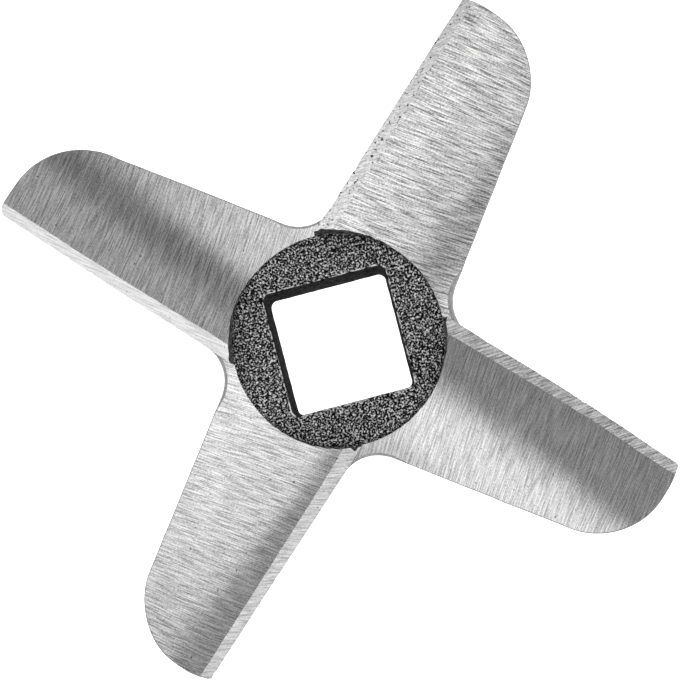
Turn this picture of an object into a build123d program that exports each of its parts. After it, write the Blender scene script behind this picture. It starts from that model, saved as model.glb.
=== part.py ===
"""Four-blade knife of a meat grinder, cast in one piece and ground on its plate side.

Frame: millimetres. +Z is the spindle axis and points at the hole plate. The origin is the
centre of the hub's rear face, and the square hole's sides are parallel to X and Y. The
cutting lands lie in the plane z = overall_height.

Each blade is described in its own frame, turned about Z: x runs out along the blade, the
cutting edge is the line y = edge_offset, and the back edge is on the side of negative y.
A blade's sector is everything past the cutting edge line of the neighbour behind it, which
is the line x = edge_offset in the blade's own frame.
"""

import os
from math import cos, radians, sin, sqrt, tan

from build123d import *

# driving dimensions
blade_count = 4
blade_angle = 42.7  # from the hole's side to the first blade's cutting edge, degrees
knife_diameter = 92.8  # circle that the blade tips reach
overall_height = 14.5  # rear hub face to the cutting lands
hub_face_height = 10.7  # rear hub face to the recessed front face of the hub
hub_diameter = 27.8  # front hub face
boss_diameter = 30.4  # hub body behind the blades, at its widest
boss_height = 9.4
boss_draft = 4.0  # degrees
boss_chamfer = 1.0
square_across = 16.4  # drive hole, across its flats
square_corner = 1.0

# plan of one blade
edge_offset = 9.92  # cutting edge to the spindle axis
back_angle = 10.7  # how far the back edge runs in towards the cutting edge, degrees
back_offset = 11.5  # back edge line to the spindle axis
tip_round = 8.8  # back corner of the tip
tip_corner = 0.45  # cutting corner of the tip
gap_radius = 5.6  # root between two neighbouring blades
gap_rounding = 0.9  # soft edge along that root

# ground faces
land_root = 1.8  # width of the cutting land beside the hub
land_tip = 1.4
root_station = 12.0  # where land_root is measured along the blade
tip_station = 44.0
wheel_radius = 40.0
root_slope = 24.0  # slope of the ground face where it leaves the land, degrees
tip_slope = 29.0

# cast sides
foot_height = 2.2  # rear of the blade under its cutting edge, carried in to the axis
foot_rounding = 1.6
rear_rise = 4.6  # the rear rises this much towards the tip, degrees
rear_tilt = 12.0  # and this much towards the back edge
scoop_radius = 15.8  # hollow in the leading face
scoop_depth = 0.9
scoop_start = 21.0  # where the hollow reaches its full section

# derived
tip_radius = knife_diameter / 2
hub_radius = hub_diameter / 2
boss_radius = boss_diameter / 2
beyond = tip_radius + 10  # clears the tips
sector_side = Plane(origin=(edge_offset, 0, 0), z_dir=(1, 0, 0))
back_slope = tan(radians(back_angle))
back_at_axis = -back_offset / cos(radians(back_angle))
gap_x = edge_offset + gap_radius
gap_y = back_at_axis + gap_x * back_slope - gap_radius / cos(radians(back_angle))


def back_edge(x):
    """y of the back edge at a distance x along the blade."""
    return back_at_axis + x * back_slope


def wheel_centre(station, land_width, slope):
    """Point of the grinding wheel's axis that is level with a station along the blade."""
    y = edge_offset - land_width - wheel_radius * sin(radians(slope))
    return Vector(station, y, overall_height + wheel_radius * cos(radians(slope)))


# plan of one blade: straight cutting edge, tapering back edge, round tip
with BuildSketch() as blade_plan:
    with BuildLine():
        Polyline(
            (0, edge_offset),
            (beyond, edge_offset),
            (beyond, back_edge(beyond)),
            (0, back_edge(0)),
            close=True,
        )
    make_face()
    Circle(tip_radius, mode=Mode.INTERSECT)
    tip_ends = blade_plan.vertices().sort_by(Axis.X)[-2:].sort_by(Axis.Y)
    fillet(tip_ends[0], tip_round)
    cutting_corner = blade_plan.vertices().group_by(Axis.Y)[-1].sort_by(Axis.X)[-1]
    fillet(cutting_corner, tip_corner)

# plan of the whole knife: four blades with a round root between each two
with BuildSketch() as knife_plan:
    with PolarLocations(0, blade_count, start_angle=blade_angle):
        add(blade_plan.sketch)
    roots = knife_plan.vertices().sort_by(SortBy.DISTANCE)[:blade_count]
    fillet(roots, gap_radius)

# what the grinding wheel takes off behind one land
wheel_root = wheel_centre(root_station, land_root, root_slope)
wheel_tip = wheel_centre(tip_station, land_tip, tip_slope)
wheel_line = (wheel_tip - wheel_root).normalized()
with BuildPart() as wheel_cut:
    with BuildSketch(Plane(origin=wheel_root - wheel_line * 30, z_dir=wheel_line)):
        Circle(wheel_radius)
    extrude(amount=90)
    split(bisect_by=sector_side, keep=Keep.TOP)

# what lies behind one blade: its rear is a tilted flat with a round foot under the edge
tilt = radians(rear_tilt)
rear_section = Plane(
    origin=(0, edge_offset, foot_height),
    x_dir=(0, 1, 0),
    z_dir=(1, 0, tan(radians(rear_rise))),
)
with BuildPart() as rear_cut:
    with BuildSketch(rear_section):
        with BuildLine():
            foot_top = foot_rounding * (1 + sin(tilt)) / cos(tilt)
            foot = CenterArc((-foot_rounding, foot_top), foot_rounding, 0, -90 - rear_tilt)
            flat = Line(foot @ 1, foot @ 1 + (-30 * cos(tilt), 30 * sin(tilt)))
            Polyline(flat @ 1, ((flat @ 1).X, -8), (3, -8), (3, foot_top), foot @ 0)
        make_face()
    extrude(amount=beyond)
    split(bisect_by=sector_side, keep=Keep.TOP)

# hollow of one leading face, which meets the land plane exactly at the cutting edge
scoop_y = edge_offset + scoop_radius - scoop_depth
scoop_half_chord = sqrt(scoop_radius**2 - (scoop_radius - scoop_depth) ** 2)
scoop_z = overall_height - scoop_half_chord
with BuildPart() as scoop_cut:
    with BuildSketch(Plane.YZ.offset(scoop_start)):
        with Locations((scoop_y, scoop_z)):
            Circle(scoop_radius)
    extrude(amount=beyond)
    with Locations((scoop_start, scoop_y, scoop_z)):
        Sphere(scoop_radius)
    split(bisect_by=Plane(origin=(0, edge_offset + 3, 0), z_dir=(0, 1, 0)), keep=Keep.BOTTOM)

# what is missing along the soft edge of one root: a quarter round that flares out above
gap_section = Plane(origin=(gap_x, gap_y, 0), x_dir=(1, 0, 0), z_dir=(0, -1, 0))
gap_low = hub_face_height - gap_rounding - 0.6
with BuildPart() as gap_cut:
    with BuildSketch(gap_section):
        with BuildLine():
            bend = CenterArc((gap_radius + gap_rounding, gap_low), gap_rounding, 115, 65)
            flare = PolarLine(bend @ 0, 3, 25)
            Polyline(bend @ 1, (0, gap_low), (0, (flare @ 1).Y), flare @ 1)
        make_face()
    revolve(axis=Axis((gap_x, gap_y, 0), (0, 0, 1)))
    split(bisect_by=sector_side, keep=Keep.TOP)

with BuildPart() as knife:
    # one star of four blades, each cut to its tilted rear and hollow leading face
    add(knife_plan.sketch)
    extrude(amount=overall_height)
    with PolarLocations(0, blade_count, start_angle=blade_angle):
        add(rear_cut.part, mode=Mode.SUBTRACT)
    with PolarLocations(0, blade_count, start_angle=blade_angle):
        add(scoop_cut.part, mode=Mode.SUBTRACT)
    # the plate side, where grinding leaves one narrow land along each cutting edge
    with PolarLocations(0, blade_count, start_angle=blade_angle):
        add(wheel_cut.part, mode=Mode.SUBTRACT)
    with PolarLocations(0, blade_count, start_angle=blade_angle):
        add(gap_cut.part, mode=Mode.SUBTRACT)
    # recess inside the four lands, over the hub
    with BuildSketch(Plane.XY.offset(hub_face_height)):
        Circle(hub_radius)
    extrude(amount=overall_height, mode=Mode.SUBTRACT)
    # hub with a drafted rear boss
    with BuildSketch(Plane.XZ):
        with BuildLine():
            draft = tan(radians(boss_draft))
            boss_foot = boss_radius - boss_height * draft
            Polyline(
                (0, 0),
                (boss_foot - boss_chamfer, 0),
                (boss_foot + boss_chamfer * draft, boss_chamfer),
                (boss_radius, boss_height),
                (hub_radius, boss_height),
                (hub_radius, hub_face_height),
                (0, hub_face_height),
                close=True,
            )
        make_face()
    revolve(axis=Axis.Z)
    # square drive hole
    with BuildSketch():
        RectangleRounded(square_across, square_across, square_corner)
    extrude(amount=overall_height, mode=Mode.SUBTRACT)

knife.part.label = "knife"

os.makedirs("parts", exist_ok=True)
export_step(knife.part, "parts/knife.step")
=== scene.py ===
import math
import bmesh
import bpy
import numpy as np
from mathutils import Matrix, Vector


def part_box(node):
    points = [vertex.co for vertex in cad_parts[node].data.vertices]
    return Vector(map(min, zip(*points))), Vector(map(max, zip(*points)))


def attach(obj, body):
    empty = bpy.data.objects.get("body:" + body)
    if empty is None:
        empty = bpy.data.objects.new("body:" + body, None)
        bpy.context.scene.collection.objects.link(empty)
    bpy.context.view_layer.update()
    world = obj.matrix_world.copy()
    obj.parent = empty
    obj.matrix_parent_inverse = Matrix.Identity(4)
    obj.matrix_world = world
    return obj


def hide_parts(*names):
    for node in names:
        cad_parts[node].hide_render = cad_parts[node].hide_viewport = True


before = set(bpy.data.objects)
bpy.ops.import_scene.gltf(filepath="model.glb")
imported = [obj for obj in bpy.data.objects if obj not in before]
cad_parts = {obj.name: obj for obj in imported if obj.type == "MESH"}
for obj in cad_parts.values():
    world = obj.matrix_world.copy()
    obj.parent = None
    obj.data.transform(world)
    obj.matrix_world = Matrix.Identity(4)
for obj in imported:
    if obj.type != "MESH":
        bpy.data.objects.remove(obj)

bpy.context.view_layer.update()
lowCorner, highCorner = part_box("knife")
mm = 0.001

# sizes in millimetres and degrees; x runs out along a blade, y towards its cutting edge
knife = dict(
    count=4, turn=42.7, tipRadius=46.4, height=(highCorner.z - lowCorner.z) / mm,
    edgeOffset=9.92, backAngle=10.7, backOffset=11.5, tipRound=8.8, gapRadius=5.6, rootRun=1.2,
)
grind = dict(landRoot=1.8, landTip=1.4, rootStation=12.0, tipStation=44.0, wheel=40.0, rootSlope=24.0,
             tipSlope=29.0)
cast = dict(foot=2.2, footRound=1.6, rise=4.6, tilt=12.0, scoop=15.8, scoopDepth=0.9, scoopStart=21.0,
            rearEdge=0.45, bossFillet=1.3)
hub = dict(face=10.7, radius=13.9, boss=15.2, bossHeight=9.4, bossDraft=4.0, bossEdge=1.0,
           hole=16.4, holeCorner=1.0, holeEdge=0.27, grain=0.05, fillet=0.6, wallRough=0.06)
# what grinding by hand and use left different on the four blades, in millimetres
hand = dict(
    gapSoft=(0.75, 0.42, 0.52, 0.36),     # width of the soft cast edge at the root of the gap
    edgeRoot=(-0.14, -0.06, 0.08, 0.10), edgeTip=(-0.01, -0.20, -0.10, 0.09),
    edgeMid=(0.03, 0.08, -0.02, 0.20),    # how far the middle of the cutting edge stands out
    backRoot=(0.04, 0.02, 0.03, 0.07), backTip=(-0.08, -0.05, 0.34, 0.08),
    reach=(-0.05, -0.40, 0.0, -0.05), bulge=(0.24, 0.06, 0.33, 0.20), shrink=0.13,
    tipCorner=(0.55, 1.2, 0.7, 0.6),      # round worn on the cutting corner of the tip
    notchTurn=(41.0, 43.0, 41.5, 44.0),   # small cast notches where the lands end at the hub, in degrees
    notchDepth=(0.18, 0.12, 0.50, 0.30), notchWidth=1.3,
    brokenEdge=0.13, keenEdge=0.03, wobble=0.03, chatter=0.018, nickFrom=0.62, nickDepth=0.28,
)
# finishes. lines: way the scratches run, in degrees from the blade's length; sizes in millimetres
groundFace = dict(lines=105.0, bright=0.565, rough=0.25, aniso=0.8, lineWidth=0.155, lineLength=3.0,
                  pits=0.30, pitShare=0.27, grain=0.26, relief=0.03)
faceContrast = (0.38, 0.25, 0.28, 0.22)      # how much the scratches of each blade differ in brightness
# each land's bright level is set apart to match how lit that land looks: painted light and shade on one ground
# steel; the lines, pits and grain differ for real
groundLands = (
    dict(lines=139.0, bright=0.65, contrast=0.22, rough=0.32, aniso=0.2, lineWidth=0.17, lineLength=1.0,
         pits=0.05, pitShare=0.35, grain=0.35, relief=0.03),
    dict(lines=9.0, bright=0.58, contrast=0.13, rough=0.28, aniso=0.3, lineWidth=0.16, lineLength=2.8,
         pits=0.30, pitShare=0.25, grain=0.25, relief=0.02),
    dict(lines=124.0, bright=0.55, contrast=0.18, rough=0.30, aniso=0.3, lineWidth=0.18, lineLength=1.8,
         pits=0.30, pitShare=0.26, grain=0.25, relief=0.02),
    dict(lines=50.0, bright=0.46, contrast=0.26, rough=0.32, aniso=0.2, lineWidth=0.20, lineLength=2.4,
         pits=0.30, pitShare=0.25, grain=0.25, relief=0.02),
)
# the hub face's scale: its grain ramp runs from black to white, so the white tips on the grain's high points
# are painted glints
scale = dict(dark=0.0, light=1.0, low=0.485, high=0.88, rough=0.5,
             gloss=0.2, grain=0.25, metal=0.55, relief=0.16)
bore = dict(dark=0.010, light=0.045, low=0.4, high=0.6, rough=0.9,
            gloss=0.0, grain=0.5, metal=0.0, relief=0.05)
# the hole's rounded top edge: bright metal, partly wear and partly a painted highlight along the rim, with
# painted glints on the grain
wearAndGlint = dict(dark=0.03, light=0.85, low=0.40, high=0.56, rough=0.4,
            gloss=0.3, grain=0.5, metal=0.8, relief=0.05)
skin = dict(dark=0.16, light=0.26, low=0.35, high=0.65, rough=0.55,
            gloss=0.2, grain=0.30, metal=0.3, relief=0.05)
noiseScale = dict(speck=3800.0, pit=2300.0, patch=420.0)      # noise cells in a metre
grid = dict(along=131, land=8, face=44, rings=5, skirt=9, hubTurn=420, hubRings=44)

backTurn = math.radians(knife["backAngle"])
backSlope = math.tan(backTurn)
backOut = np.array([math.sin(backTurn), -math.cos(backTurn)])      # out of the blade, square to its back edge
backAlong = np.array([math.cos(backTurn), math.sin(backTurn)])
gapX = knife["edgeOffset"] + knife["gapRadius"]
gapDrop = (knife["backOffset"] + knife["gapRadius"]) / math.cos(backTurn)
gapCentre = np.array([gapX, gapX * backSlope - gapDrop])
tipAcross = knife["backOffset"] - knife["tipRound"]
tipReach = math.sqrt((knife["tipRadius"] - knife["tipRound"]) ** 2 - tipAcross ** 2)
tipMid = tipAcross * backOut + tipReach * backAlong


def wheelAxis():
    # the grinding wheel's axis: a point level with each station, and the unit vector between them
    ends = []
    for station, width, slope in ((grind["rootStation"], grind["landRoot"], grind["rootSlope"]),
                                  (grind["tipStation"], grind["landTip"], grind["tipSlope"])):
        a = math.radians(slope)
        ends.append((station, knife["edgeOffset"] - width - grind["wheel"] * math.sin(a),
                     knife["height"] + grind["wheel"] * math.cos(a)))
    root, tip = np.array(ends)
    return root, (tip - root) / np.linalg.norm(tip - root)


wheelRoot, wheelLine = wheelAxis()


def smoothStep(value, low, high):
    t = np.clip((value - low) / (high - low), 0, 1)
    return t * t * (3 - 2 * t)


def smoothNoise(x, y, cell, seed):
    # value noise: random heights on a square lattice, blended by a smooth step between its points
    table = np.random.default_rng(seed).uniform(-1, 1, (256, 256))
    gx, gy = x / cell + 1000, y / cell + 1000
    ix, iy = np.floor(gx).astype(int), np.floor(gy).astype(int)
    fx, fy = gx - ix, gy - iy
    fx, fy = fx * fx * (3 - 2 * fx), fy * fy * (3 - 2 * fy)
    a, b = table[ix % 256, iy % 256], table[(ix + 1) % 256, iy % 256]
    c, d = table[ix % 256, (iy + 1) % 256], table[(ix + 1) % 256, (iy + 1) % 256]
    return (a * (1 - fx) + b * fx) * (1 - fy) + (c * (1 - fx) + d * fx) * fy


def chatter(x, y):
    # the wheel jumps a little as it goes: waves in the face that run the way it grinds
    across = x - y / math.tan(math.radians(groundFace["lines"]))
    slow, quick = smoothNoise(across, across * 0, 0.9, 21), smoothNoise(across, across * 0, 0.4, 22)
    return hand["chatter"] * (slow + 0.5 * quick)


def topHeight(x, y):
    # the lower of the land plane and the wheel's cylinder: |q|^2 - (q.d)^2 = R^2 solved for z
    qx, qy = x - wheelRoot[0], y + chatter(x, y) - wheelRoot[1]
    dx, dy, dz = wheelLine
    k = qx * dx + qy * dy
    a = 1 - dz * dz
    b = -2 * k * dz
    c = qx * qx + qy * qy - k * k - grind["wheel"] ** 2
    hollow = wheelRoot[2] + (-b - np.sqrt(np.maximum(b * b - 4 * a * c, 0))) / (2 * a)
    return np.minimum(knife["height"], hollow)


def creaseY(x):
    # where the wheel's cylinder meets the land plane: the same equation solved for y
    qx, qz = x - wheelRoot[0], knife["height"] - wheelRoot[2]
    dx, dy, dz = wheelLine
    k = qx * dx + qz * dz
    a = 1 - dy * dy
    b = -2 * k * dy
    c = qx * qx + qz * qz - k * k - grind["wheel"] ** 2
    y = wheelRoot[1] + (-b + np.sqrt(b * b - 4 * a * c)) / (2 * a)
    return y - chatter(x, y)


def resample(points, fractions):
    # points along a polyline at the given fractions of its length
    step = np.r_[0, np.cumsum(np.linalg.norm(np.diff(points, axis=0), axis=1))]
    return np.stack([np.interp(fractions * step[-1], step, points[:, i]) for i in (0, 1)], 1)


def arc(centre, radius, start, stop, count=60):
    a = np.linspace(start, stop, count)
    return centre + radius * np.stack([np.cos(a), np.sin(a)], 1)


def fillGrid(front, back, inner, outer, s, t):
    # surface between four curves: across = (1-t) front + t back, drawn to the end curves with high powers
    # of the nearness to them, so that a bulge at the tip doesn't reach the root
    s, t = s[:, None, None], t[None, :, None]
    across = (1 - t) * front[:, None] + t * back[:, None]
    return across + (1 - s) ** 24 * (inner - across[0]) + s ** 4 * (outer - across[-1])


# shares of the way along the blade, crowded towards the tip, and across its land and face
alongShares = 1 - (1 - np.linspace(0, 1, grid["along"])) ** 1.25
landShares = np.linspace(0, 1, grid["land"])
faceShares = 1 - (1 - np.linspace(0, 1, grid["face"])) ** 1.35


def bladeRim(index):
    # closed outline of one blade in plan, counted out along the edge, round the tip and back to the root
    e, r, c = knife["edgeOffset"], knife["tipRadius"], hand["tipCorner"][index]
    start = e - knife["rootRun"]                          # runs into the neighbour behind it
    cornerX = math.sqrt((r - c) ** 2 - (e - c) ** 2)
    cornerTurn = math.atan2(e - c, cornerX)
    halfTurn = (math.pi / 2 + cornerTurn) / 2
    corner = np.array([cornerX, e - c])
    creaseX = np.linspace(0.5 * r, r, 400)
    gone = np.hypot(creaseX, creaseY(creaseX)) - r
    endX = np.interp(0, gone, creaseX)
    endTurn = math.atan2(creaseY(endX), endX)
    meet = math.atan2(tipMid[1], tipMid[0])
    front = resample(np.vstack([(start, e), (cornerX, e), arc(corner, c, math.pi / 2, halfTurn, 12)[1:]]),
                     alongShares)
    landTip = resample(np.vstack([arc(corner, c, halfTurn, cornerTurn, 12),
                                  arc(np.zeros(2), r, cornerTurn, endTurn)]), landShares)
    faceTip = resample(np.vstack([arc(np.zeros(2), r, endTurn, meet),
                                  arc(tipMid, knife["tipRound"], meet, backTurn - math.pi / 2)[1:]]),
                       faceShares)
    gapArc = arc(gapCentre, knife["gapRadius"], math.pi, backTurn + math.pi / 2)
    backEnd = tipMid + knife["tipRound"] * backOut
    back = resample(np.vstack([(start, gapCentre[1]), gapArc, backEnd]), alongShares)
    rootLand = resample(np.array([(start, e), (start, creaseY(start))]), landShares)
    rootFace = resample(np.array([(start, creaseY(start)), (start, gapCentre[1])]), faceShares)
    tip = np.vstack([landTip, faceTip[1:]])
    root = np.vstack([rootLand, rootFace[1:]])
    # cast and ground outlines are never quite true: a slow wobble, and small nicks in the cutting edge
    rim = np.vstack([front, tip[1:], back[-2::-1], root[-2:0:-1]])
    x, y = rim.T
    free = smoothStep(x, e + 1.5, e + 4)
    rim[:, 1] += free * hand["wobble"] * smoothNoise(x, y * 0 + 40 * (y > 0), 2.3, 11 + index)
    nick = np.maximum(smoothNoise(x, x * 0, 0.45, 31 + index) - hand["nickFrom"], 0) * hand["nickDepth"]
    rim[:, 1] -= np.where(y > e - 0.05, nick * free, 0)
    return rim


def rimWidth(rim, index, rear=False):
    # how far in from the outline its soft edge reaches, smoothed along the outline
    x, y = rim.T
    if rear:
        width = np.where(y > knife["edgeOffset"] - 0.6, hand["keenEdge"], cast["rearEdge"])
    else:
        soft = (hand["gapSoft"][index] * (1 - smoothStep(x, 14.4, 17.0)) * smoothStep(x, 9.0, 9.8)
                * smoothStep(y, gapCentre[1], gapCentre[1] + 1.8))
        width = np.where(y < 0, np.maximum(soft, hand["brokenEdge"]), hand["brokenEdge"])
        width = np.where(y > knife["edgeOffset"] - 0.6, hand["keenEdge"], width)
    for turnBy in (1, 2, 1):
        width = (width + np.roll(width, turnBy) + np.roll(width, -turnBy)) / 3
    return width


def movedIn(rim, width):
    ahead, behind = np.roll(rim, -1, 0), np.roll(rim, 1, 0)
    run = ahead - behind
    inward = np.stack([run[:, 1], -run[:, 0]], 1) / np.linalg.norm(run, axis=1)[:, None]
    return rim + inward * width[:, None]


def planGrid(rim):
    # fills an outline: the land from the cutting edge to the crease, then the hollow face
    n, land, m = grid["along"], grid["land"], grid["land"] + grid["face"] - 1
    front, tip = rim[:n], rim[n - 1:n + m - 1]
    back, root = rim[n + m - 2:2 * n + m - 2][::-1], np.vstack([rim[:1], rim[2 * n + m - 3:][::-1]])
    creaseX = np.linspace(root[land - 1, 0], tip[land - 1, 0], 300)
    crease = resample(np.stack([creaseX, creaseY(creaseX)], 1), alongShares)
    crease[0], crease[-1] = root[land - 1], tip[land - 1]
    first = fillGrid(front, crease, root[:land], tip[:land], alongShares, landShares)
    second = fillGrid(crease, back, root[land - 1:], tip[land - 1:], alongShares, faceShares)
    return np.concatenate([first, second[:, 1:]], 1)


def rearHeight(x, y):
    # a flat rising to the tip and to the back edge, a round foot below the edge, a fillet beside the boss
    tilt = math.radians(cast["tilt"])
    base = cast["foot"] + x * math.tan(math.radians(cast["rise"]))
    inward = knife["edgeOffset"] - y
    r = cast["footRound"]
    footTop = r * (1 + math.sin(tilt)) / math.cos(tilt)
    foot = base + footTop - np.sqrt(np.maximum(r * r - (r - inward) ** 2, 0))
    z = np.where(inward < r * (1 + math.sin(tilt)), foot, base + inward * math.tan(tilt))
    fillet = np.clip(cast["bossFillet"] + hub["boss"] - 0.3 - np.hypot(x, y), 0, cast["bossFillet"])
    return z - cast["bossFillet"] + np.sqrt(cast["bossFillet"] ** 2 - fillet ** 2)


def softDrop(share, width, start, stop):
    # height lost at a share of the way out over a round edge whose slope goes from start to stop
    a, b = math.sin(start), math.sin(stop)
    radius = width / (b - a)
    return radius * (math.cos(start) - np.sqrt(1 - (a + (b - a) * share) ** 2))


def behindScoop(points):
    # nothing stands ahead of the hollow leading face: a cylinder closed by a sphere towards the hub
    x, y, z = points.T
    r = cast["scoop"]
    middle = knife["edgeOffset"] + r - cast["scoopDepth"]
    half = math.sqrt(r * r - (r - cast["scoopDepth"]) ** 2)
    rest = r * r - (z - (knife["height"] - half)) ** 2 - np.maximum(cast["scoopStart"] - x, 0) ** 2
    return np.stack([x, np.minimum(y, middle - np.sqrt(np.maximum(rest, 0))), z], 1)


def byHand(points, index):
    # moves the cutting edge, the back edge and the tip a little, each by its own amount on each blade
    x, y, z = points.T
    out = smoothStep(x, 13, 44)
    edge = hand["edgeRoot"][index] * (1 - out) + hand["edgeTip"][index] * out
    edge += hand["edgeMid"][index] * smoothStep(x, 15, 28) * (1 - smoothStep(x, 34, 43))
    back = hand["backRoot"][index] * (1 - out) + hand["backTip"][index] * out
    share = smoothStep(y, -9, 9)
    free = smoothStep(x, knife["edgeOffset"] + 0.5, knife["edgeOffset"] + 4)
    bulge = hand["bulge"][index] * smoothStep(y, -4, 3) * (1 - smoothStep(y, 6.8, 9.4))
    bulge -= hand["shrink"] * (1 - smoothStep(y, -5, 0))
    along = (hand["reach"][index] + bulge) * smoothStep(np.hypot(x, y), 30, 46)
    return np.stack([x + along, y + free * (edge * share - back * (1 - share)), z], 1)


def turned(points, degrees):
    a = math.radians(degrees)
    x, y, z = points.T
    return np.stack([x * math.cos(a) - y * math.sin(a), x * math.sin(a) + y * math.cos(a), z], 1)


def makeObject(name, points, faces, slots, coords):
    # points in millimetres to a mesh in metres; coords become the UV map that the grinding follows
    data = bpy.data.meshes.new(name)
    data.from_pydata((points * mm).tolist(), [], faces)
    for material in finishes.values():
        data.materials.append(material)
    data.polygons.foreach_set("material_index", np.asarray(slots, np.int32))
    layer = data.uv_layers.new(name="grindMap")
    index = np.zeros(len(data.loops), np.int32)
    data.loops.foreach_get("vertex_index", index)
    layer.data.foreach_set("uv", coords[index].astype(np.float32).ravel())
    item = bpy.data.objects.new(name, data)
    bpy.context.scene.collection.objects.link(item)
    return item


def quads(rows, cols, first=0, close=False):
    # corner numbers of a rows x cols grid of points, wrapping along the columns where closed
    i = np.arange(rows - 1)[:, None] * cols
    j = np.arange(cols if close else cols - 1)[None]
    k = (j + 1) % cols
    return np.stack([i + j, i + cols + j, i + cols + k, i + k], -1).reshape(-1, 4) + first


def bladeSolid(index):
    # closed solid of one blade: the ground top, soft edges, the sides, and the rear at half the fineness
    n, m = grid["along"], grid["land"] + grid["face"] - 1
    rim = bladeRim(index)
    around = len(rim)
    width = rimWidth(rim, index)
    inner = movedIn(rim, width)
    plan = planGrid(inner).reshape(-1, 2)
    top = np.column_stack([plan, topHeight(*plan.T)])
    # the cast root of the gap starts steep beside the ground face; the other edges are only broken
    inGap = width > 1.6 * hand["brokenEdge"]
    rings = []
    for share in np.linspace(0, 1, grid["rings"])[1:]:
        xy = inner + (rim - inner) * share
        drop = np.where(inGap, softDrop(share, width, 0.5, 1.45), softDrop(share, width, 0.15, 1.3))
        rings.append(np.column_stack([xy, topHeight(*xy.T) - drop]))
    rearWidth = rimWidth(rim, index, rear=True)
    rearInner = movedIn(rim, rearWidth)
    rearRings = []
    for share in (1.0, 0.6, 0.25):
        xy = rearInner + (rim - rearInner) * share
        rearRings.append(np.column_stack([xy, rearHeight(*xy.T) + softDrop(share, rearWidth, 0.1, 1.4)]))
    skirt = [rings[-1] * (1 - f) + rearRings[0] * f for f in np.linspace(0, 1, grid["skirt"] + 2)[1:-1]]
    rearPlan = planGrid(rearInner)[::2, ::2]
    rearCols = rearPlan.shape[1]
    rearPlan = rearPlan.reshape(-1, 2)
    rear = np.column_stack([rearPlan, rearHeight(*rearPlan.T)])
    points = behindScoop(np.vstack([top] + rings + skirt + rearRings + [rear]))
    order = np.array([(i, 0) for i in range(n)] + [(n - 1, j) for j in range(1, m)]
                     + [(i, m - 1) for i in range(n - 2, -1, -1)] + [(0, j) for j in range(m - 2, 0, -1)])
    hoops = len(rings) + len(skirt) + len(rearRings)
    rows = [order[:, 0] * m + order[:, 1]] + [n * m + i * around + np.arange(around) for i in range(hoops)]
    sides = [np.stack([np.roll(a, -1), np.roll(b, -1), b, a], 1) for a, b in zip(rows[:-1], rows[1:])]
    firstRear = n * m + hoops * around
    even, odd = rows[-1][::2], rows[-1][1::2]
    under = firstRear + (order[::2, 0] // 2) * rearCols + order[::2, 1] // 2
    strip = np.stack([np.roll(even, -1), np.roll(under, -1), under, odd], 1)
    corners = np.stack([odd, under, even], 1)
    topFaces, rearFaces = quads(n, m)[:, ::-1], quads((n + 1) // 2, rearCols, firstRear)
    faces = np.vstack([topFaces] + sides + [strip, rearFaces]).tolist() + corners.tolist()
    slots = np.full(len(faces), slotOf["skin"])
    landCols = np.tile(np.arange(m - 1) < grid["land"] - 1, n - 1)
    slots[:len(topFaces)] = np.where(landCols, slotOf["land%d" % index], slotOf["face%d" % index])
    ringSlots = np.where(inner[:, 1] > creaseY(inner[:, 0]), slotOf["land%d" % index], slotOf["skin"])
    slots[len(topFaces):len(topFaces) + len(rings) * around] = np.tile(ringSlots, len(rings))
    coords = points[:, :2] * mm + np.array([0.1 * index, 0.0])
    points = turned(byHand(points, index), knife["turn"] + 90 * index)
    return makeObject("blade%d" % index, points, faces, slots, coords)


def closedTube(name, rings, slot, lastSlot=None, lastFrom=0):
    # a stack of closed rings, fanned shut at both ends; from one ring on it can have another finish
    count, around = rings.shape[:2]
    points = np.vstack([rings.reshape(-1, 3), rings[0].mean(0), rings[-1].mean(0)])
    sides = quads(count, around, close=True)[:, ::-1]
    j = np.arange(around)
    k = (j + 1) % around
    low, high = count * around, count * around + 1
    faces = sides.tolist() + np.stack([np.full(around, low), k, j], 1).tolist()
    faces += np.stack([np.full(around, high), (count - 1) * around + j, (count - 1) * around + k], 1).tolist()
    slots = np.full(len(faces), slotOf[slot])
    if lastSlot:
        slots[lastFrom * around:len(sides)] = slotOf[lastSlot]
    return makeObject(name, points, faces, slots, points[:, :2] * mm)


def revolved(profile, around):
    turn = np.linspace(0, 2 * math.pi, around, endpoint=False)
    r, z = profile[:, 0, None], profile[:, 1, None]
    return np.stack([r * np.cos(turn), r * np.sin(turn), np.broadcast_to(z, (len(profile), around))], -1)


def hubBlank():
    # drafted boss with a chamfered foot and a round shoulder up to the hub face
    draft = math.tan(math.radians(hub["bossDraft"]))
    foot = hub["boss"] - hub["bossHeight"] * draft
    side = [(0.6 * foot, 0), (foot - hub["bossEdge"], 0), (foot + hub["bossEdge"] * draft, hub["bossEdge"])]
    climb = [(foot + z * draft, z) for z in np.linspace(1.6, hub["bossHeight"] - 0.3, 12)]
    a = np.radians(np.linspace(0, 90, 9))
    width, rise = hub["boss"] - hub["radius"] + 0.01, hub["face"] - hub["bossHeight"] - 0.1
    shoulder = np.stack([hub["radius"] - 0.01 + width * np.cos(a), hub["bossHeight"] + rise * np.sin(a)], 1)
    top = [(hub["radius"] - 0.01, hub["face"] + 0.8), (0.5 * hub["radius"], hub["face"] + 0.8)]
    profile = np.vstack([side, climb, shoulder, top])
    return closedTube("hubBlank", revolved(profile, grid["hubTurn"] // 2), "skin")


def recessWall():
    # radius of the recess by angle: a rough cast wall with a small notch where each land ends at it
    turn = np.linspace(0, 360, grid["hubTurn"], endpoint=False)
    x, y = hub["radius"] * np.cos(np.radians(turn)), hub["radius"] * np.sin(np.radians(turn))
    fine, broad = smoothNoise(x, y, 0.6, 8), smoothNoise(x, y, 2.2, 9)
    wall = hub["radius"] + hub["wallRough"] * fine + hub["wallRough"] * broad
    for index in range(knife["count"]):
        off = (turn - knife["turn"] - 90 * index - hand["notchTurn"][index] + 180) % 360 - 180
        wall += hand["notchDepth"][index] * np.exp(-(off / hand["notchWidth"]) ** 2)
    return wall


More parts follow.
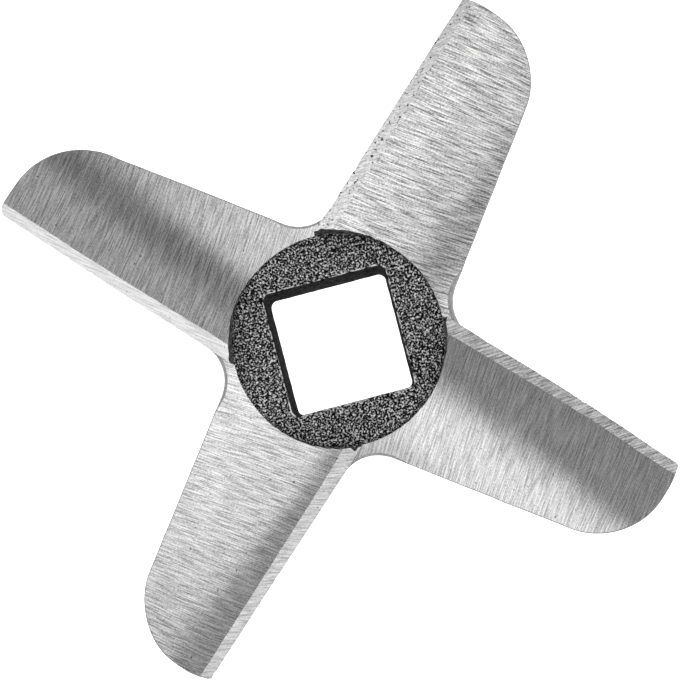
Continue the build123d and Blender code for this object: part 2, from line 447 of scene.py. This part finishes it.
def faceCutter():
    # what is open above the hub face: a polar grid with cast grain, then the wall of the recess
    fillet = hub["fillet"]
    grainFrom = 7.6                                       # inside the drive hole's flats
    turn = np.linspace(0, 2 * math.pi, grid["hubTurn"], endpoint=False)
    cosine, sine, wall = np.cos(turn), np.sin(turn), recessWall()
    r = grainFrom + (wall - fillet - grainFrom) * np.linspace(0, 1, grid["hubRings"])[:, None]
    x, y = r * cosine, r * sine
    z = hub["face"] + hub["grain"] * (smoothNoise(x, y, 0.34, 3) + 0.6 * smoothNoise(x, y, 0.8, 4)
                                      + 0.8 * smoothNoise(x, y, 2.7, 5))
    rings = [np.stack([x, y, z], -1)]
    for a in np.radians([15, 30, 45, 60, 75]):
        q = wall - fillet + fillet * math.sin(a)
        rings.append(np.stack([q * cosine, q * sine, z[-1] + fillet * (1 - math.cos(a))], -1)[None])
    for level, out in ((0.5, 0.0), (1.2, 0.02), (2.0, 0.05), (2.8, 0.08), (3.8, 0.11), (8.0, 0.2)):
        q = wall + out + 0.03 * smoothNoise(12 * turn, np.full_like(turn, 3 * level), 0.5, 6)
        rings.append(np.stack([q * cosine, q * sine, np.full_like(turn, hub["face"] + level)], -1)[None])
    return closedTube("faceCutter", np.concatenate(rings), "scale")


def squareRing(half, corner, z):
    # square with round corners, counter-clockwise from the middle of its right side
    flat = half - corner
    a = np.radians(np.linspace(0, 90, 9))
    quarter = np.vstack([np.stack([np.full(24, half), np.linspace(-flat, flat, 25)[:24]], 1),
                         np.stack([flat + corner * np.cos(a), flat + corner * np.sin(a)], 1)[:-1]])
    ring = np.vstack([quarter @ np.array([[math.cos(t), math.sin(t)], [-math.sin(t), math.cos(t)]])
                      for t in np.radians([0, 90, 180, 270])])
    return np.column_stack([ring, np.full(len(ring), z)])


def holeCutter():
    # the drive hole: straight walls with a soft edge at the hub face and a broken one at the rear
    edge = hub["holeEdge"]
    levels = [(-2.0, 1.0), (-0.1, 0.22), (0.15, 0.0)]     # height, and how far out beyond the flats
    levels += [(z, 0.0) for z in np.linspace(0.6, hub["face"] - 0.6, 12)]
    for a in np.radians([20, 40, 60, 75]):
        levels.append((hub["face"] - edge + edge * math.sin(a), edge - edge * math.cos(a)))
    levels += [(hub["face"] + 0.25, edge + 0.2), (hub["face"] + 6, edge + 0.3)]
    rings = np.stack([squareRing(hub["hole"] / 2 + d, hub["holeCorner"] + 0.3 * d, z) for z, d in levels])
    x, y, z = rings[..., 0], rings[..., 1], rings[..., 2]
    rough = 1 + 0.003 * smoothNoise(x + 0.7 * z, y - 0.5 * z, 0.9, 15)
    rings[..., :2] *= rough[..., None]
    # the rounded top rings get the bright edge finish: partly wear, partly painted highlight
    return closedTube("holeCutter", rings, "wall", "wearAndGlint", len(levels) - 5)


def nodesOf(title):
    finish = bpy.data.materials.new(title)
    finish.use_nodes = True
    tree = finish.node_tree
    return finish, tree, tree.nodes["Principled BSDF"]


def addNode(tree, kind, inputs=None, **settings):
    # one node; a tuple (node, output) links an input, anything else sets it
    node = tree.nodes.new(kind)
    for name, value in settings.items():
        setattr(node, name, value)
    for key, value in (inputs or {}).items():
        if isinstance(value, tuple) and len(value) == 2 and hasattr(value[0], "outputs"):
            tree.links.new(value[0].outputs[value[1]], node.inputs[key])
        else:
            node.inputs[key].default_value = value
    return node


def blend(tree, factor, low, high):
    # a value from low to high as the factor goes from 0 to 1
    return addNode(tree, "ShaderNodeMapRange", {"Value": factor, "To Min": low, "To Max": high})


def ramp(tree, value, stops):
    # grey levels along a ramp
    node = addNode(tree, "ShaderNodeValToRGB", {"Fac": value})
    band = node.color_ramp
    while len(band.elements) < len(stops):
        band.elements.new(0.5)
    for element, (at, level) in zip(band.elements, stops):
        element.position = at
        element.color = (level, level, level, 1)
    return node


def groundSteel(title, look):
    # steel scratched by the wheel: narrow noise drawn out along the lines in two widths, then grain and pits
    finish, tree, shader = nodesOf(title)
    coords = addNode(tree, "ShaderNodeUVMap", uv_map="grindMap")
    lean = addNode(tree, "ShaderNodeMapping", {"Vector": (coords, "UV"),
                                               "Rotation": (0, 0, -math.radians(look["lines"]))})
    lines = []
    for width, length, detail in ((look["lineWidth"], look["lineLength"], 1.0),
                                  (3.0 * look["lineWidth"], 2.6 * look["lineLength"], 2.0)):
        stretch = addNode(tree, "ShaderNodeMapping", {"Vector": (lean, "Vector"), "Rotation": (0, 0, 0.6),
                                                      "Scale": (1 / (length * mm), 1 / (width * mm), 1)})
        lines.append(addNode(tree, "ShaderNodeTexNoise", {"Vector": (stretch, "Vector"), "Scale": 1.0,
                                                          "Detail": detail, "Roughness": 0.5}))
    fine, broad = lines
    speck = addNode(tree, "ShaderNodeTexNoise", {"Vector": (coords, "UV"), "Scale": noiseScale["speck"],
                                                 "Detail": 1.0})
    weighed = None
    for noise, share in ((fine, 0.85 - look["grain"]), (broad, 0.15), (speck, look["grain"])):
        term = addNode(tree, "ShaderNodeMath", {0: (noise, "Fac"), 1: share}, operation="MULTIPLY")
        if weighed is None:
            weighed = term
        else:
            weighed = addNode(tree, "ShaderNodeMath", {0: (weighed, "Value"), 1: (term, "Value")},
                              operation="ADD")
    tone = ramp(tree, (weighed, "Value"), [(0.38, look["bright"] - look["contrast"]),
                                           (0.62, look["bright"] + look["contrast"])])
    pitted = addNode(tree, "ShaderNodeTexNoise", {"Vector": (coords, "UV"), "Scale": noiseScale["pit"],
                                                  "Detail": 1.0})
    pits = ramp(tree, (pitted, "Fac"), [(look["pitShare"] - 0.04, 0.0), (look["pitShare"] + 0.02, 1.0)])
    pitTone = blend(tree, (pits, "Color"), look["pits"], 1.0)
    colour = addNode(tree, "ShaderNodeMix", {"Factor": 1.0, 6: (tone, "Color"), 7: (pitTone, "Result")},
                     data_type="RGBA", blend_type="MULTIPLY")
    tree.links.new(colour.outputs[2], shader.inputs["Base Color"])
    rough = blend(tree, (broad, "Fac"), look["rough"] - 0.04, look["rough"] + 0.05)
    tree.links.new(rough.outputs["Result"], shader.inputs["Roughness"])
    shader.inputs["Metallic"].default_value = 1.0
    shader.inputs["Anisotropic"].default_value = look["aniso"]
    tangent = addNode(tree, "ShaderNodeTangent", direction_type="UV_MAP", uv_map="grindMap")
    tree.links.new(tangent.outputs["Tangent"], shader.inputs["Tangent"])
    height = addNode(tree, "ShaderNodeMath", {0: (weighed, "Value"), 1: (pits, "Color")}, operation="ADD")
    bump = addNode(tree, "ShaderNodeBump", {"Height": (height, "Value"), "Strength": 0.25,
                                            "Distance": look["relief"] * mm})
    tree.links.new(bump.outputs["Normal"], shader.inputs["Normal"])
    return finish


def castScale(title, look):
    # dark scale of a casting: coarse grain with bright tips on its high points; where the ramp is narrow the
    # tips are grain tone, where it runs up towards white they are painted glints
    finish, tree, shader = nodesOf(title)
    coords = addNode(tree, "ShaderNodeTexCoord")
    grain = addNode(tree, "ShaderNodeTexNoise", {"Vector": (coords, "Object"), "Detail": 1.5, "Roughness": 0.6,
                                                 "Scale": 1 / (look["grain"] * mm)})
    patch = addNode(tree, "ShaderNodeTexNoise", {"Vector": (coords, "Object"), "Detail": 2.0,
                                                 "Scale": noiseScale["patch"]})
    # grain tone, with painted glints in the bright stops where a finish's light level is high
    grainAndGlints = ramp(tree, (grain, "Fac"), [(look["low"], look["dark"]), (look["high"], look["light"])])
    tone = blend(tree, (patch, "Fac"), 0.7, 1.3)
    colour = addNode(tree, "ShaderNodeMix", {"Factor": 1.0, 6: (grainAndGlints, "Color"), 7: (tone, "Result")},
                     data_type="RGBA", blend_type="MULTIPLY")
    tree.links.new(colour.outputs[2], shader.inputs["Base Color"])
    rough = blend(tree, (patch, "Fac"), look["rough"] - 0.1, look["rough"] + 0.12)
    tree.links.new(rough.outputs["Result"], shader.inputs["Roughness"])
    shader.inputs["Metallic"].default_value = look["metal"]
    shader.inputs["Specular IOR Level"].default_value = look["gloss"]
    bump = addNode(tree, "ShaderNodeBump", {"Height": (grain, "Fac"), "Strength": 0.8,
                                            "Distance": look["relief"] * mm})
    tree.links.new(bump.outputs["Normal"], shader.inputs["Normal"])
    return finish


finishes = dict(skin=castScale("castSkin", skin), scale=castScale("castScale", scale),
                wall=castScale("boreScale", bore), wearAndGlint=castScale("edgeWearAndGlint", wearAndGlint))
for index in range(knife["count"]):
    faceLook = dict(groundFace, contrast=faceContrast[index])
    finishes["face%d" % index] = groundSteel("groundFace%d" % index, faceLook)
    finishes["land%d" % index] = groundSteel("groundLand%d" % index, groundLands[index])
slotOf = {title: number for number, title in enumerate(finishes)}
print("finishes made")


def combine(body, others, operation):
    for other in others:
        step = body.modifiers.new(other.name, "BOOLEAN")
        step.object = other
        step.operation = operation
        step.solver = "MANIFOLD"


def keepLargest(data):
    # drops the crumbs that the cuts leave: walks each joined set of faces and keeps the largest
    work = bmesh.new()
    work.from_mesh(data)
    left, sets = set(work.faces), []
    while left:
        found, queue = set(), [left.pop()]
        while queue:
            face = queue.pop()
            found.add(face)
            near = {other for edge in face.edges for other in edge.link_faces} & left
            left -= near
            queue.extend(near)
        sets.append(found)
    sets.sort(key=len)
    crumbs = {vert for found in sets[:-1] for face in found for vert in face.verts}
    bmesh.ops.delete(work, geom=list(crumbs), context="VERTS")
    work.to_mesh(data)
    work.free()


creaseAngle = 22.0         # edges sharper than this many degrees stay creased
blades = [bladeSolid(k) for k in range(knife["count"])]
body = hubBlank()
cutters = [faceCutter(), holeCutter()]
combine(body, blades, "UNION")
combine(body, cutters, "DIFFERENCE")
graph = bpy.context.evaluated_depsgraph_get()
dressed = bpy.data.meshes.new_from_object(body.evaluated_get(graph))
keepLargest(dressed)
for spare in blades + cutters + [body]:
    bpy.data.objects.remove(spare)
dressed.name = "castKnife"
piece = bpy.data.objects.new("castKnife", dressed)
bpy.context.scene.collection.objects.link(piece)
dressed.shade_smooth()
dressed.set_sharp_from_angle(angle=math.radians(creaseAngle))
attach(piece, "root")
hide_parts("knife")
print("knife", len(dressed.polygons), "faces")

# the camera stands over the knife and looks straight down, turned so that the hole leans 14.7 degrees
camera = dict(turn=14.7, height=150.0, foot=(6.53, -8.63), lens=62.4, shift=(-0.0716, 0.0984))


def overKnife(x, y):
    # a place given in the view's axes, right and up from the spindle, in metres
    a = math.radians(-camera["turn"])
    return ((x * math.cos(a) - y * math.sin(a)) * mm, (x * math.sin(a) + y * math.cos(a)) * mm)


eye = bpy.data.objects.new("eye", bpy.data.cameras.new("eye"))
bpy.context.scene.collection.objects.link(eye)
eye.location = (*overKnife(*camera["foot"]), (camera["height"] + knife["height"]) * mm)
eye.rotation_euler = (0, 0, -math.radians(camera["turn"]))
eye.data.lens = camera["lens"]
eye.data.shift_x, eye.data.shift_y = camera["shift"]
eye.data.clip_start, eye.data.clip_end = 0.005, 10.0
bpy.context.scene.camera = eye

# light: soft panels overhead that the steel mirrors, and a wide one for the floor alone; a panel is
# (left, right, low, high, radiance), in millimetres, in axes turned from the view's
panelHeight, panelTurn = 400.0, -32.6
panels = dict(
    left=(-395, 0, -205, 20, 1.27), leftFar=(-170, 0, 20, 180, 1.10),
    rightRoot=(0, 100, -184, -50, 1.08), right=(100, 620, -222, -50, 1.08),
    root=(0, 105, -50, 330, 0.33), middle=(105, 240, -50, 330, 0.82), tip=(240, 620, -50, 330, 1.05),
    beyond=(-450, 0, 300, 800, 0.38), behind=(0, 400, -900, -260, 0.18), side=(-900, -420, -500, 100, 0.22),
)
wash = dict(height=900.0, size=2400.0, radiance=1.6)


def addPanel(name, x, y, z, width, depth, radiance, glossy):
    lamp = bpy.data.objects.new(name, bpy.data.lights.new(name, "AREA"))
    lamp.data.shape = "RECTANGLE"
    lamp.data.size, lamp.data.size_y = width * mm, depth * mm
    lamp.data.energy = radiance * math.pi * width * depth * mm * mm
    turn = math.radians(panelTurn)
    place = overKnife(x * math.cos(turn) - y * math.sin(turn), x * math.sin(turn) + y * math.cos(turn))
    lamp.location = (*place, z * mm)
    lamp.rotation_euler = (0, 0, turn - math.radians(camera["turn"]))
    lamp.visible_glossy = glossy
    lamp.visible_camera = False
    bpy.context.scene.collection.objects.link(lamp)
    return lamp


for name, (left, right, low, high, radiance) in panels.items():
    middleX, middleY = (left + right) / 2, (low + high) / 2
    addPanel(name, middleX, middleY, panelHeight, right - left, high - low, radiance, True)
addPanel("wash", 0, 0, wash["height"], wash["size"], wash["size"], wash["radiance"], False)

roomLight = 0.22
world = bpy.data.worlds.new("room")
bpy.context.scene.world = world
world.use_nodes = True
world.node_tree.nodes["Background"].inputs["Color"].default_value = (1, 1, 1, 1)
world.node_tree.nodes["Background"].inputs["Strength"].default_value = roomLight

floorSize, floorGrey, floorRough, floorGlow = 1.6, 0.86, 0.9, 0.95
floorMesh = bpy.data.meshes.new("floor")
floorMesh.from_pydata([(-floorSize, -floorSize, 0), (floorSize, -floorSize, 0), (floorSize, floorSize, 0),
                       (-floorSize, floorSize, 0)], [], [(0, 1, 2, 3)])
floor = bpy.data.objects.new("floor", floorMesh)
bpy.context.scene.collection.objects.link(floor)
floorFinish, _, floorShader = nodesOf("paleFloor")
floorShader.inputs["Base Color"].default_value = (floorGrey, floorGrey, floorGrey, 1)
floorShader.inputs["Roughness"].default_value = floorRough
floorShader.inputs["Emission Color"].default_value = (1, 1, 1, 1)
floorShader.inputs["Emission Strength"].default_value = floorGlow
floorMesh.materials.append(floorFinish)
bpy.context.scene.view_settings.view_transform = "Standard"

bpy.context.view_layer.update()
print("camera, light and floor set")
